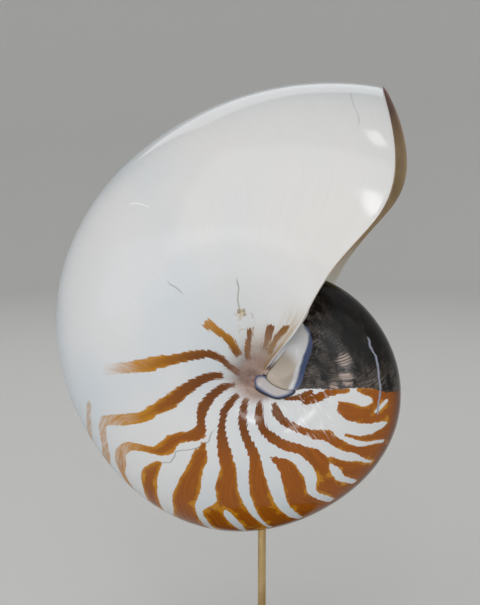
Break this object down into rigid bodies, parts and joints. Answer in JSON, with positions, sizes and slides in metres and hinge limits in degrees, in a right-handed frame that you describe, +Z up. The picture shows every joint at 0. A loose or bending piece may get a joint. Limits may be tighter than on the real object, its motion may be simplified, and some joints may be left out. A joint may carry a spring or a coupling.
{
  "type": "nautilus shell on a stand",
  "caption": "Chambered nautilus shell with an open body chamber, held upright on a slim brass rod in a round turned wooden base.",
  "frame": {"origin": "middle of the underside of the felt pad, on the rod's axis, where the object stands", "axes": "+Z up along the rod, +X towards the mouth of the shell, Y along the coiling axis"},
  "size_m": [0.1278, 0.09, 0.2359],
  "materials": {
    "shell": "gloss",
    "rod": "satin",
    "base": "satin",
    "fastener": "satin",
    "felt": "matte"
  },
  "bodies": {
    "root": {"shell": "shell", "rod": "rod", "base": "base", "washer": "fastener", "nut": "fastener", "felt_pad": "felt"}
  },
  "joints": []
}
